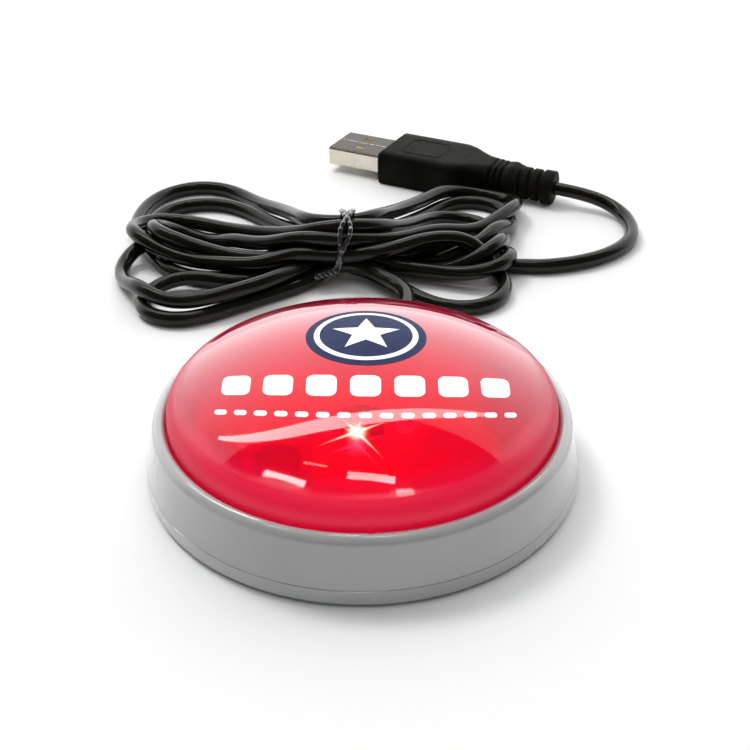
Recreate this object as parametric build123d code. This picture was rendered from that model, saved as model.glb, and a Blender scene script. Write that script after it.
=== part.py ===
from build123d import *

import os
from math import atan2, cos, degrees, pi, radians, sin, sqrt, tan

# USB quiz buzzer: a round table-top base with a sprung translucent dome that presses a tact switch,
# a PVC cord bundled in a tied hank, and a USB-A plug. Millimetres, +Z up, origin at the centre of the
# base on the surface it stands on. Azimuths are degrees from +X towards +Y; the cord leaves at the back.

# ---- Driving dimensions: base ----
base_radius = 35.0
cover_underside_z = 0.4
floor_thickness = 1.6
parting_z = 3.2
wall_top_radius = 33.6
wall_top_z = 9.9
crest_radius = 32.35
crest_z = 11.15
lip_radius = 31.56
lip_z = 10.75
lip_underside_z = 9.0
inner_wall_bottom_radius = 32.9
inner_wall_top_radius = 32.6
boss_circle_radius = 30.2
boss_radius = 2.2
boss_top_z = 7.0
boss_azimuths = [30, 120, 210, 300]
foot_azimuths = [43, 133, 223, 313]
foot_circle_radius = 25.0
foot_radius = 4.0
foot_height = 1.0

# ---- Driving dimensions: dome and its motion ----
press_travel = 2.5
switch_travel = 0.25
dome_radius = 31.2
dome_wall = 2.0
cap_radius = 61.6
shoulder_radius = 3.7
apex_z = 22.34
flange_radius = 32.35
flange_bottom_z = 7.2
flange_top_z = 8.8
spring_circle_radius = 22.8
spring_azimuths = [238, 358, 118]
cup_outer_radius = 5.2
cup_inner_radius = 3.8
cup_bottom_z = 10.3
cup_seat_z = 14.6
rib_azimuths = [218, 338, 98]
rib_half_angle = 12.0
rib_inner_radius = 24.6
rib_outer_radius = 25.8
rib_bottom_z = 5.0
spring_radius = 3.0
spring_wire_radius = 0.3
spring_turns = 4.5

# ---- Driving dimensions: inside ----
plate_radius = 27.4
plate_bottom_z = 6.8
plate_top_z = 7.6
board_radius = 17.5
board_bottom_z = 4.4
board_top_z = 5.4
standoff_circle_radius = 14.5
standoff_azimuths = [278, 38, 158]
switch_size = 6.0
switch_body_height = 3.5
switch_button_height = 1.5
led_circle_radius = 7.0
led_azimuths = [263, 353, 83, 173]
led_names = ["front", "right", "rear", "left"]
led_radius = 1.5
led_height = 5.3

# ---- Driving dimensions: cord ----
cord_diameter = 3.1
cord_radius = cord_diameter / 2
exit_azimuth = 80.0
exit_z = 4.0
gland_end_radius = 45.0
jacket_end_radius = 20.5
tie_x = -5.0
bundle_y = 67.5
bundle_z = 7.0
bundle_radius = 6.3
tie_thickness = 0.6

# ---- Driving dimensions: USB-A plug ----
plug_tip = (-6.8, 129.5)
plug_angle = -26.7
plug_height = 8.0
shell_width = 12.0
shell_height = 4.5
shell_wall = 0.3
shell_exposed = 14.3
shell_length = 18.7
window_start = 5.7
window_length = 2.4
window_width = 2.3
window_offset = 2.9
overmould_width = 16.2
plug_length = 57.5
plug_axis_z = plug_height / 2

floor_top_z = cover_underside_z + floor_thickness
pad_top_z = floor_top_z + 1.0
cut = 0.5


def polar(radius, azimuth):
    angle = radians(azimuth)
    return radius * cos(angle), radius * sin(angle)


def rod(center, low_z, high_z, radius):
    x, y = center
    return Pos(x, y, low_z) * Cylinder(radius, high_z - low_z, align=(Align.CENTER, Align.CENTER, Align.MIN))


def block(center, low_z, high_z, size_x, size_y, turn=0.0):
    x, y = center
    solid = Box(size_x, size_y, high_z - low_z, align=(Align.CENTER, Align.CENTER, Align.MIN))
    return Pos(x, y, low_z) * Rot(0, 0, turn) * solid


def disc_ring(low_z, high_z, outer_radius, inner_radius):
    return rod((0, 0), low_z, high_z, outer_radius) - rod((0, 0), low_z - cut, high_z + cut, inner_radius)


def ring_sector(low_z, high_z, outer_radius, inner_radius, azimuth, half_angle):
    """A piece of a flat ring, half_angle each side of azimuth."""
    first, last = azimuth - half_angle, azimuth + half_angle
    outline = make_face([
        Line(polar(inner_radius, first), polar(outer_radius, first)),
        ThreePointArc(polar(outer_radius, first), polar(outer_radius, azimuth), polar(outer_radius, last)),
        Line(polar(outer_radius, last), polar(inner_radius, last)),
        ThreePointArc(polar(inner_radius, last), polar(inner_radius, azimuth), polar(inner_radius, first)),
    ])
    return Pos(0, 0, low_z) * extrude(outline, high_z - low_z)


def turned(edges):
    """Solid of revolution about Z from a closed half section given as (radius, z) edges."""
    return revolve(Plane.XZ * make_face(edges), Axis.Z)


def group(solids):
    return Compound(children=list(solids))


def screw(center, head_bottom_z, head_radius, head_height, shank_radius, length, heads_up):
    """Pan head screw with a cross recess. The shank runs away from the head."""
    recess_size = (head_radius * 1.1, head_radius * 0.3)
    recess_depth = head_height * 0.5
    head = Cylinder(head_radius, head_height, align=(Align.CENTER, Align.CENTER, Align.MIN))
    head = fillet(head.edges().sort_by(Axis.Z)[-1], head_height * 0.35)
    for size_x, size_y in (recess_size, recess_size[::-1]):
        slot_box = Box(size_x, size_y, recess_depth, align=(Align.CENTER, Align.CENTER, Align.MIN))
        head -= Pos(0, 0, head_height - recess_depth) * slot_box
    shank = Pos(0, 0, -length) * Cylinder(
        shank_radius, length, align=(Align.CENTER, Align.CENTER, Align.MIN))
    solid = head + shank
    if not heads_up:
        solid = Rot(180, 0, 0) * solid
    return Pos(center[0], center[1], head_bottom_z) * solid


# ---- Base ----
def bottom_cover():
    lip_outer, lip_inner, lip_top = 32.55, 31.2, 4.4
    edge = 0.6
    rim = parting_z - 0.12
    solid = turned([
        Line((0, cover_underside_z), (base_radius - edge, cover_underside_z)),
        TangentArc((base_radius - edge, cover_underside_z), (base_radius, cover_underside_z + edge),
                   tangent=(1, 0)),
        Line((base_radius, cover_underside_z + edge), (base_radius, rim)),
        Line((base_radius, rim), (base_radius - 0.3, parting_z)),
        Line((base_radius - 0.3, parting_z), (lip_outer, parting_z)),
        Line((lip_outer, parting_z), (lip_outer, lip_top)),
        Line((lip_outer, lip_top), (lip_inner, lip_top)),
        Line((lip_inner, lip_top), (lip_inner, floor_top_z)),
        Line((lip_inner, floor_top_z), (0, floor_top_z)),
        Line((0, floor_top_z), (0, cover_underside_z)),
    ])
    for azimuth in boss_azimuths:
        center = polar(boss_circle_radius, azimuth)
        solid -= rod(center, parting_z, lip_top + cut, boss_radius + 0.3)
        solid -= ring_sector(parting_z, lip_top + cut, lip_outer + cut, 30.0, azimuth, 3.6)
        solid += rod(center, floor_top_z - cut, parting_z, 2.8)
        solid -= rod(center, cover_underside_z - cut, 1.8, 2.1)
        solid -= rod(center, cover_underside_z - cut, parting_z + cut, 1.05)
    for azimuth in spring_azimuths:
        center = polar(spring_circle_radius, azimuth)
        solid += rod(center, floor_top_z - cut, pad_top_z, 2.8)
        solid -= rod(center, cover_underside_z - cut, 1.7, 2.1)
        solid -= rod(center, cover_underside_z - cut, pad_top_z + cut, 1.05)
    for azimuth in standoff_azimuths:
        center = polar(standoff_circle_radius, azimuth)
        solid += rod(center, floor_top_z - cut, board_bottom_z, 2.2)
        solid -= rod(center, floor_top_z + 0.2, board_bottom_z + cut, 0.8)
    for azimuth in foot_azimuths:
        center = polar(foot_circle_radius, azimuth)
        solid -= rod(center, cover_underside_z - cut, foot_height, foot_radius)
    solid -= cord_gate(floor_top_z, lip_top + cut, 3.45)
    return solid


def cord_gate(low_z, high_z, half_width):
    """The upright slot at the back, through wall and lip, that the gland stands in."""
    center = polar(32.2, exit_azimuth)
    return block(center, low_z, high_z, 6.4, 2 * half_width, exit_azimuth)


def housing_ring():
    solid = turned([
        Line((base_radius - 0.05, parting_z), (wall_top_radius, wall_top_z)),
        TangentArc((wall_top_radius, wall_top_z), (crest_radius, crest_z),
                   tangent=(wall_top_radius - base_radius, wall_top_z - parting_z)),
        ThreePointArc((crest_radius, crest_z), (lip_radius + 0.28, crest_z - 0.1), (lip_radius, lip_z)),
        Line((lip_radius, lip_z), (lip_radius, lip_underside_z)),
        Line((lip_radius, lip_underside_z), (inner_wall_top_radius, lip_underside_z)),
        Line((inner_wall_top_radius, lip_underside_z), (inner_wall_bottom_radius, parting_z)),
        Line((inner_wall_bottom_radius, parting_z), (base_radius - 0.05, parting_z)),
    ])
    for azimuth in boss_azimuths:
        center = polar(boss_circle_radius, azimuth)
        solid += rod(center, parting_z, boss_top_z, boss_radius)
        solid += ring_sector(parting_z, boss_top_z, 33.3, 30.6, azimuth, 3.0)
        solid -= rod(center, parting_z - cut, boss_top_z - 0.8, 0.95)
    gate_x, gate_y = polar(34.0, exit_azimuth)
    solid -= block((gate_x, gate_y), parting_z - cut, exit_z + 2.0, 5.0, 4.6, exit_azimuth)
    return solid


def housing_screws():
    places = [polar(boss_circle_radius, azimuth) for azimuth in boss_azimuths]
    return group(screw(place, 1.8, 1.8, 1.2, 0.93, 4.2, False) for place in places)


def plate_screws():
    places = [polar(spring_circle_radius, azimuth) for azimuth in spring_azimuths]
    return group(screw(place, 1.7, 1.8, 1.2, 0.93, 4.0, False) for place in places)


def board_screws():
    places = [polar(standoff_circle_radius, azimuth) for azimuth in standoff_azimuths]
    return group(screw(place, board_top_z, 1.5, 1.0, 0.78, 3.0, True) for place in places)


def rubber_feet():
    feet = []
    for azimuth in foot_azimuths:
        foot = rod(polar(foot_circle_radius, azimuth), 0, foot_height, foot_radius)
        feet.append(fillet(foot.edges().sort_by(Axis.Z)[0], 0.25))
    return group(feet)


# ---- Dome and return springs ----
def dome_face_edges(inset):
    """Cap arc and shoulder arc of the dome, moved inwards by inset, from the apex outwards."""
    cap_center_z = apex_z - cap_radius
    shoulder_center_radius = dome_radius - shoulder_radius
    reach = cap_radius - shoulder_radius
    shoulder_z = cap_center_z + sqrt(reach ** 2 - shoulder_center_radius ** 2)
    meet_angle = degrees(atan2(shoulder_z - cap_center_z, shoulder_center_radius))
    cap = CenterArc((0, cap_center_z), cap_radius - inset, meet_angle, 90 - meet_angle)
    shoulder = CenterArc((shoulder_center_radius, shoulder_z), shoulder_radius - inset, 0, meet_angle)
    return cap, shoulder, shoulder_z


def dome_filling():
    """Everything under the dome's inner face, as a tool to trim the ribs and cups."""
    cap, shoulder, shoulder_z = dome_face_edges(dome_wall - 0.4)
    inner_radius = dome_radius - dome_wall + 0.4
    inner_apex = apex_z - dome_wall + 0.4
    return turned([
        cap, shoulder,
        Line((inner_radius, shoulder_z), (inner_radius, 0)),
        Line((inner_radius, 0), (0, 0)),
        Line((0, 0), (0, inner_apex)),
    ])


def push_dome():
    outer_cap, outer_shoulder, shoulder_z = dome_face_edges(0)
    inner_cap, inner_shoulder, _ = dome_face_edges(dome_wall)
    skirt_inner = dome_radius - dome_wall
    shell = turned([
        outer_cap, outer_shoulder,
        Line((dome_radius, shoulder_z), (dome_radius, flange_top_z)),
        Line((dome_radius, flange_top_z), (flange_radius, flange_top_z)),
        Line((flange_radius, flange_top_z), (flange_radius, flange_bottom_z)),
        Line((flange_radius, flange_bottom_z), (skirt_inner, flange_bottom_z)),
        Line((skirt_inner, flange_bottom_z), (skirt_inner, shoulder_z)),
        inner_cap, inner_shoulder,
        Line((0, apex_z), (0, apex_z - dome_wall)),
    ])
    inside = rod((0, 0), plunger_socket_z, apex_z, plunger_boss_radius)
    for azimuth in spring_azimuths:
        inside += rod(polar(spring_circle_radius, azimuth), cup_bottom_z, apex_z, cup_outer_radius)
    for azimuth in rib_azimuths:
        inside += ring_sector(rib_bottom_z, apex_z, rib_outer_radius, rib_inner_radius, azimuth, rib_half_angle)
    solid = shell + (inside & dome_filling())
    for azimuth in spring_azimuths:
        solid -= rod(polar(spring_circle_radius, azimuth), cup_bottom_z - cut, cup_seat_z, cup_inner_radius)
    solid -= rod((0, 0), plunger_socket_z - cut, plunger_socket_top_z, plunger_pin_radius)
    for azimuth in boss_azimuths:
        notch_center = polar(31.0, azimuth)
        solid -= block(notch_center, flange_bottom_z - cut, boss_top_z + press_travel + 0.3, 7.0, 5.4, azimuth)
    gate_center = polar(31.0, exit_azimuth)
    solid -= block(gate_center, flange_bottom_z - cut, gland_flange_top_z + press_travel + 0.3,
                   7.0, 7.8, exit_azimuth)
    return solid


plunger_boss_radius = 3.0
plunger_pin_radius = 1.6
plunger_socket_z = 16.5
plunger_socket_top_z = 19.6
switch_button_top_z = board_top_z + switch_body_height + switch_button_height
plunger_tip_z = switch_button_top_z + press_travel - switch_travel


def switch_plunger():
    stem = rod((0, 0), plunger_tip_z, plunger_socket_z, 2.4)
    stem = fillet(stem.edges().sort_by(Axis.Z)[0], 0.6)
    return stem + rod((0, 0), plunger_socket_z, plunger_socket_top_z - 0.2, plunger_pin_radius)


def return_spring(azimuth):
    """Compression spring with its ends on the plate below and in the dome's cup above."""
    height = cup_seat_z - plate_top_z - 2 * spring_wire_radius
    coil = Helix(pitch=height / spring_turns, height=height, radius=spring_radius)
    section = Plane(origin=coil @ 0, z_dir=coil % 0) * Circle(spring_wire_radius)
    wire = sweep(section, path=coil, is_frenet=True)
    x, y = polar(spring_circle_radius, azimuth)
    return Pos(x, y, plate_top_z + spring_wire_radius + 0.02) * wire


# ---- Plate, board and switch ----
def reflector_plate():
    solid = rod((0, 0), plate_bottom_z, plate_top_z, plate_radius)
    for azimuth in spring_azimuths:
        center = polar(spring_circle_radius, azimuth)
        solid += rod(center, pad_top_z, plate_bottom_z + 0.2, 2.4)
        pin = rod(center, plate_top_z - 0.2, plate_top_z + 1.6, 2.3)
        solid += fillet(pin.edges().sort_by(Axis.Z)[-1], 0.4)
        solid -= rod(center, pad_top_z - cut, plate_bottom_z - 0.6, 0.95)
    for azimuth in rib_azimuths:
        solid -= ring_sector(plate_bottom_z - cut, plate_top_z + cut, rib_outer_radius + 0.5,
                             rib_inner_radius - 0.5, azimuth, rib_half_angle + 1.5)
    solid -= block((0, 0), plate_bottom_z - cut, plate_top_z + cut, switch_size + 1, switch_size + 1)
    for azimuth in led_azimuths:
        solid -= rod(polar(led_circle_radius, azimuth), plate_bottom_z - cut, plate_top_z + cut, led_radius + 0.5)
    return solid


def lead_place(azimuth, side):
    """Where one of an LED's two leads goes through the board."""
    x, y = polar(led_circle_radius, azimuth)
    step_x, step_y = polar(0.8 * side, azimuth + 90)
    return x + step_x, y + step_y


def terminal_places():
    return [(x, y) for x in (-3.3, 3.3) for y in (-2.25, 2.25)]


def circuit_board():
    solid = rod((0, 0), board_bottom_z, board_top_z, board_radius)
    for azimuth in standoff_azimuths:
        solid -= rod(polar(standoff_circle_radius, azimuth), board_bottom_z - cut, board_top_z + cut, 0.85)
    for azimuth in led_azimuths:
        for side in (-1, 1):
            solid -= rod(lead_place(azimuth, side), board_bottom_z - cut, board_top_z + cut, 0.35)
    for place in terminal_places():
        solid -= block(place, board_bottom_z - cut, board_top_z + cut, 0.8, 1.1)
    return solid


def switch_body():
    top_z = board_top_z + switch_body_height
    solid = block((0, 0), board_top_z, top_z, switch_size, switch_size)
    solid = chamfer(solid.edges().filter_by(Axis.Z), 0.4)
    return solid - rod((0, 0), top_z - 1.2, top_z + cut, 1.8)


def switch_button():
    bottom_z = board_top_z + switch_body_height - 1.2 + switch_travel + 0.1
    solid = rod((0, 0), bottom_z, switch_button_top_z, 1.72)
    return fillet(solid.edges().sort_by(Axis.Z)[-1], 0.2)


def switch_terminals():
    legs = []
    for x, y in terminal_places():
        outward = 1 if x > 0 else -1
        leg = block((x, y), board_bottom_z - 0.8, board_top_z + 1.2, 0.3, 0.7)
        leg += block((x - 0.1 * outward, y), board_top_z + 1.0, board_top_z + 1.3, 0.4, 0.7)
        legs.append(leg)
    return group(legs)


def led(azimuth):
    center = polar(led_circle_radius, azimuth)
    solid = rod(center, board_top_z, board_top_z + 0.9, led_radius + 0.3)
    lens = rod(center, board_top_z + 0.9, board_top_z + led_height, led_radius)
    return solid + fillet(lens.edges().sort_by(Axis.Z)[-1], led_radius * 0.97)


def led_leads():
    places = [lead_place(azimuth, side) for azimuth in led_azimuths for side in (-1, 1)]
    return group(block(place, board_bottom_z - 0.9, board_top_z, 0.4, 0.4) for place in places)


chip_place = (-7.5, 8.6)
crystal_place = (6.8, 7.2)


def controller_chip():
    top_z, height = board_bottom_z, 1.6
    solid = block(chip_place, top_z - height, top_z - 0.1, 3.9, 8.6)
    for step in range(7):
        y = chip_place[1] + (step - 3) * 1.27
        solid += block((chip_place[0], y), top_z - 0.4, top_z, 6.0, 0.42)
    return solid


def crystal():
    can = block(crystal_place, board_bottom_z - 2.0, board_bottom_z, 3.2, 8.0)
    return fillet(can.edges().filter_by(Axis.Z), 1.4)


def resistors():
    places = [(6.0, -6.5 - 2.2 * step) for step in range(3)]
    return group(block(place, board_bottom_z - 0.6, board_bottom_z, 2.0, 1.25) for place in places)


def capacitors():
    places = [(-6.0, -6.5 - 2.2 * step) for step in range(2)]
    return group(block(place, board_bottom_z - 0.9, board_bottom_z, 2.0, 1.25) for place in places)


# ---- Cord entry ----
gland_flange_top_z = exit_z + 2.4
gland_flange_bottom_z = floor_top_z


def along_exit(radius):
    """Plane square to the cord where it leaves the base, at this distance from the centre."""
    x, y = polar(radius, exit_azimuth)
    dx, dy = polar(1, exit_azimuth)
    return Plane(origin=(x, y, exit_z), z_dir=(dx, dy, 0))


def exit_rod(first_radius, last_radius, radius):
    return extrude(along_exit(first_radius) * Circle(radius), last_radius - first_radius)


def cable_gland():
    """Moulded strain relief: a flange inside the wall, a neck in the slot, a ribbed taper outside."""
    inner_face, wall_inner, wall_outer = 31.3, 32.45, 35.3
    center = polar((inner_face + wall_inner) / 2, exit_azimuth)
    solid = block(center, gland_flange_bottom_z, gland_flange_top_z, wall_inner - inner_face, 6.6, exit_azimuth)
    neck = polar((wall_inner + wall_outer) / 2, exit_azimuth)
    solid += block(neck, gland_flange_bottom_z, exit_z + 1.95, wall_outer - wall_inner + 0.2, 4.5, exit_azimuth)
    solid += exit_rod(wall_outer, wall_outer + 1.2, 3.1)
    taper_start = wall_outer + 1.2
    taper = loft([along_exit(taper_start) * Circle(2.75), along_exit(gland_end_radius) * Circle(2.05)])
    solid += taper
    for step in range(4):
        groove_start = taper_start + 1.2 + 1.9 * step
        solid -= exit_rod(groove_start, groove_start + 0.8, 4.0) - exit_rod(groove_start, groove_start + 0.8, 2.0)
    return solid - exit_rod(inner_face - cut, gland_end_radius + cut, cord_radius)


def cable_jacket_end():
    """The end of the cord inside the base, from the gland's mouth to where its jacket is stripped."""
    return exit_rod(jacket_end_radius, gland_end_radius, cord_radius)


wire_names = ["red", "white", "green", "black"]


def wire(index):
    """One insulated conductor from the stripped jacket to its pad under the board."""
    side = index - 1.5
    start = Vector(*polar(jacket_end_radius, exit_azimuth), exit_z + 0.02)
    across = Vector(*polar(1, exit_azimuth - 90), 0)
    inward = Vector(*polar(-1, exit_azimuth), 0)
    drop = Vector(0, 0, -1)
    first = start + across * (side * 0.68)
    stripped = first + inward * 1.2
    spread = first + inward * 3.4 + across * (side * 0.6) + drop * 0.95
    under = first + inward * 6.4 + across * (side * 1.7) + drop * 1.0
    pad = first + inward * 8.6 + across * (side * 1.8) + Vector(0, 0, board_bottom_z - exit_z - 0.42)
    path = FilletPolyline(first, stripped, spread, under, pad, radius=0.9)
    section = Plane(origin=path @ 0, z_dir=path % 0) * Circle(0.32)
    return sweep(section, path=path)


# ---- Free cord ----
def plug_point(distance):
    """Point on the plug's axis at this distance from its tip."""
    angle = radians(plug_angle)
    return plug_tip[0] + distance * cos(angle), plug_tip[1] + distance * sin(angle)


lead_route = [
    (*polar(gland_end_radius, exit_azimuth), exit_z),
    (*polar(50.4, exit_azimuth), exit_z),
    (7.2, 54.8, 3.8),
    (2.6, 59.4, 3.8),
    (-1.6, 61.9, 4.2),
]
tail_route = [
    (*plug_point(plug_length), plug_axis_z),
    (*plug_point(plug_length + 5.0), plug_axis_z),
    (55.2, 98.7, 3.1),
    (59.3, 94.0, 1.9),
    (60.2, 87.6, 1.6),
    (58.9, 80.8, 1.6),
    (54.0, 74.4, 1.6),
    (46.6, 69.8, 1.6),
    (38.5, 67.6, 1.6),
    (31.2, 68.9, 1.6),
]


def corner_radii(points):
    """Each corner takes an arc with 0.45 of its shorter run on each side."""
    radii = []
    for before, here, after in zip(points, points[1:], points[2:]):
        run_in = Vector(*here) - Vector(*before)
        run_out = Vector(*after) - Vector(*here)
        half_turn = radians(run_in.get_angle(run_out)) / 2
        radii.append(0.45 * min(run_in.length, run_out.length) / tan(half_turn))
    return radii


def cord_tube(name, points):
    radii = corner_radii(points)
    path = FilletPolyline(*points, radius=radii)
    section = Plane(origin=path @ 0, z_dir=path % 0) * Circle(cord_radius)
    tube = sweep(section, path=path)
    share = tube.volume / (pi * cord_radius ** 2 * path.length)
    print(f"{name}: length {path.length:.1f} mm, volume / (section x length) {share:.4f}")
    print(f"{name}: corner radii", [round(radius, 1) for radius in radii])
    return tube


left_lobe = [(-10, 62), (-17, 54.5), (-28, 47), (-37, 44.5), (-46, 48), (-51, 57), (-53.5, 72), (-53.5, 94),
             (-51, 104), (-43, 110.5), (-34, 110), (-24, 98), (-16, 83), (-10, 73)]
right_lobe = [(0, 63), (7, 57.5), (14, 49.5), (22, 46.5), (28.5, 52), (31, 62), (32, 74), (34.5, 86),
              (35.5, 97.5), (31, 103.4), (24.5, 105.4), (17, 100), (8, 88), (0, 73)]
lobe_low_z = 0.1
lobe_high_z = 9.0


def cable_hank():
    """Outer shape of the tied hank: two flat fans of loops joined by the round bundle in the tie."""
    solid = Pos(tie_x, bundle_y, bundle_z) * Rot(0, 90, 0) * Cylinder(bundle_radius, 16)
    for lobe in (left_lobe, right_lobe):
        outline = FilletPolyline(*lobe, radius=2.0, close=True)
        solid += Pos(0, 0, lobe_low_z) * extrude(make_face(outline.edges()), lobe_high_z - lobe_low_z)
    return solid


def twist_tie():
    """Wire tie wound twice round the bundle, with its two ends twisted together at the front."""
    wraps = []
    for x in (tie_x - 1.1, tie_x + 0.3):
        wrap = Cylinder(bundle_radius + tie_thickness, 1.2) - Cylinder(bundle_radius, 2)
        wraps.append(Pos(x, bundle_y, bundle_z) * Rot(0, 90, 0) * wrap)
    ends = Pos(tie_x - 2.9, bundle_y - bundle_radius - 1.2, 3.6) * Rot(0, 0, 35) * Box(6.5, 1.2, 1.2)
    return wraps[0] + wraps[1] + ends


# ---- USB-A plug, drawn along +X from its tip and then laid in place ----
def lay_plug(solid):
    return Pos(plug_tip[0], plug_tip[1], 0) * Rot(0, 0, plug_angle) * solid


def plug_box(first, last, width, low_z, high_z, y=0.0):
    return Pos((first + last) / 2, y, (low_z + high_z) / 2) * Box(last - first, width, high_z - low_z)


shell_low_z = plug_axis_z - shell_height / 2
shell_high_z = plug_axis_z + shell_height / 2


def usb_shell():
    outer = plug_box(0, shell_length, shell_width, shell_low_z, shell_high_z)
    outer = fillet(outer.edges().filter_by(Axis.X), 0.5)
    inner = plug_box(-cut, shell_length + cut, shell_width - 2 * shell_wall,
                     shell_low_z + shell_wall, shell_high_z - shell_wall)
    solid = outer - inner
    for y in (-window_offset, window_offset):
        solid -= plug_box(window_start, window_start + window_length, window_width,
                          shell_low_z - cut, shell_high_z + cut, y)
    return lay_plug(solid)


tongue_top_z = shell_low_z + shell_wall + 1.9
tongue_width = shell_width - 2 * shell_wall - 0.3


def usb_insulator():
    tongue = plug_box(1.0, shell_exposed + 0.6, tongue_width, shell_low_z + shell_wall, tongue_top_z)
    rear = plug_box(shell_exposed + 0.6, shell_length - 0.2, shell_width - 2 * shell_wall,
                    shell_low_z + shell_wall, shell_high_z - shell_wall)
    return lay_plug(tongue + rear)


def usb_contacts():
    outer_pitch, inner_pitch = 3.5, 1.0
    strips = []
    for y in (-outer_pitch, -inner_pitch, inner_pitch, outer_pitch):
        first = 1.6 if abs(y) == outer_pitch else 2.6
        strips.append(lay_plug(plug_box(first, shell_exposed, 1.0, tongue_top_z, tongue_top_z + 0.2, y)))
    return group(strips)


def plug_rod(first, last, radius):
    return extrude(Plane(origin=(first, 0, plug_axis_z), z_dir=(1, 0, 0)) * Circle(radius), last - first)


def usb_overmould():
    shoulder, neck, neck_end = 33.5, 41.0, 46.4
    half_width, neck_half_width = overmould_width / 2, 4.5
    outline = make_face(Polyline(
        (shell_exposed, -half_width), (shoulder, -half_width), (neck, -neck_half_width),
        (neck_end, -neck_half_width), (neck_end, neck_half_width), (neck, neck_half_width),
        (shoulder, half_width), (shell_exposed, half_width), (shell_exposed, -half_width)).edges())
    solid = extrude(outline, plug_height)
    solid = fillet(solid.edges().filter_by(Axis.Z, reverse=True), 1.1)
    for step in range(3):
        start = neck - 1.0 + 2.1 * step
        groove = plug_box(start, start + 0.8, 14, -cut, plug_height + cut)
        groove -= plug_box(start - cut, start + 1.3, 2 * neck_half_width - 1.4, 0.8, plug_height - 0.8)
        solid -= groove
    solid += plug_rod(neck_end - 1, plug_length, 2.9)
    for step in range(3):
        start = 47.7 + 3.5 * step
        ring = plug_rod(start, start + 2.3, plug_height / 2)
        solid += fillet(ring.edges().filter_by(GeomType.CIRCLE), 0.5)
    pocket = plug_box(shell_exposed - cut, shell_length, shell_width, shell_low_z, shell_high_z)
    solid -= fillet(pocket.edges().filter_by(Axis.X), 0.5)
    return lay_plug(solid)


def build_parts():
    parts = {
        "bottom_cover": bottom_cover(),
        "housing_ring": housing_ring(),
        "housing_screws": housing_screws(),
        "rubber_feet": rubber_feet(),
        "push_dome": push_dome(),
        "switch_plunger": switch_plunger(),
        "reflector_plate": reflector_plate(),
        "plate_screws": plate_screws(),
        "circuit_board": circuit_board(),
        "board_screws": board_screws(),
        "switch_body": switch_body(),
        "switch_button": switch_button(),
        "switch_terminals": switch_terminals(),
        "led_leads": led_leads(),
        "controller_chip": controller_chip(),
        "crystal": crystal(),
        "resistors": resistors(),
        "capacitors": capacitors(),
        "cable_gland": cable_gland(),
        "cable_jacket_end": cable_jacket_end(),
        "cable_lead": cord_tube("cable_lead", lead_route),
        "cable_tail": cord_tube("cable_tail", tail_route),
        "cable_hank": cable_hank(),
        "twist_tie": twist_tie(),
        "usb_shell": usb_shell(),
        "usb_insulator": usb_insulator(),
        "usb_contacts": usb_contacts(),
        "usb_overmould": usb_overmould(),
    }
    for name, azimuth in zip(led_names, led_azimuths):
        parts[f"led_{name}"] = led(azimuth)
    for index, azimuth in enumerate(spring_azimuths):
        parts[f"return_spring_{index + 1}"] = return_spring(azimuth)
    for index, name in enumerate(wire_names):
        parts[f"wire_{name}"] = wire(index)
    return parts


os.makedirs("parts", exist_ok=True)
for node, shape in build_parts().items():
    export_step(shape, f"parts/{node}.step")
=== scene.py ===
"""Looks of the round sprung buzzer with its tied cord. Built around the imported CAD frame, in metres."""
import math

import bmesh
import bpy
import numpy as np
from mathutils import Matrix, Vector


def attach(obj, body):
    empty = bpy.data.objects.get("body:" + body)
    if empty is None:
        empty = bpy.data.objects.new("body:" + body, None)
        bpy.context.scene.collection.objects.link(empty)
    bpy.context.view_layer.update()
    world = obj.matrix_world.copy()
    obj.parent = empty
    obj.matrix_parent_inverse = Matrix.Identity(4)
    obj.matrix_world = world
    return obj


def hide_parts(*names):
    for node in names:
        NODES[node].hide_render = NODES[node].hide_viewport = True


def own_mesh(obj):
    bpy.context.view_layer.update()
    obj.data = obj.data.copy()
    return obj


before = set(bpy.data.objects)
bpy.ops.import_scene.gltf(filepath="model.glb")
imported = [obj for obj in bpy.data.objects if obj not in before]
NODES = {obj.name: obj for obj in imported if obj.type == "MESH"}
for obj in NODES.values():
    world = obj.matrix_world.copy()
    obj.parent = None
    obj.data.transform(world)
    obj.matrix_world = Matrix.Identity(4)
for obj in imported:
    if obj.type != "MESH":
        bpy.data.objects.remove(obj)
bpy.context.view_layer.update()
MM = 0.001

# ---------------------------------------------------------------- measures, most of them as in part.py
DOME_RADIUS = 61.6          # outer sphere of the dome, mm
DOME_CENTRE_Z = -39.26
CORD_DIAMETER = 3.1
TIE_CENTRE = (-5.0, 67.5, 7.0)
BUNDLE_RADIUS = 6.3
SPRING_AZIMUTHS = (238, 358, 118)
SPRING_POST_RADIUS = 22.8
SPRING_BOTTOM, SPRING_TOP = 7.6, 14.6
SPRING_RADIUS, SPRING_WIRE, SPRING_TURNS = 3.0, 0.3, 6.0

CORD_EXIT = (0.007814, 0.044316, 0.0040)
LEAD_ROUTE = [
    CORD_EXIT,
    (0.008752, 0.049634, 0.0040),
    (0.0072, 0.0548, 0.0038),
    (0.0026, 0.0594, 0.0038),
]
TAIL_ROUTE = [
    (0.0385, 0.0676, 0.0016),
    (0.0466, 0.0698, 0.0016),
    (0.0540, 0.0744, 0.0016),
    (0.0589, 0.0808, 0.0016),
    (0.0602, 0.0876, 0.0016),
    (0.0593, 0.0940, 0.0019),
    (0.0552, 0.0987, 0.0031),
    (0.04904, 0.10141, 0.0040),
    (0.04457, 0.10366, 0.0040),
]


# ---------------------------------------------------------------- mesh helpers
def link(obj):
    bpy.context.scene.collection.objects.link(obj)
    return obj


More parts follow.
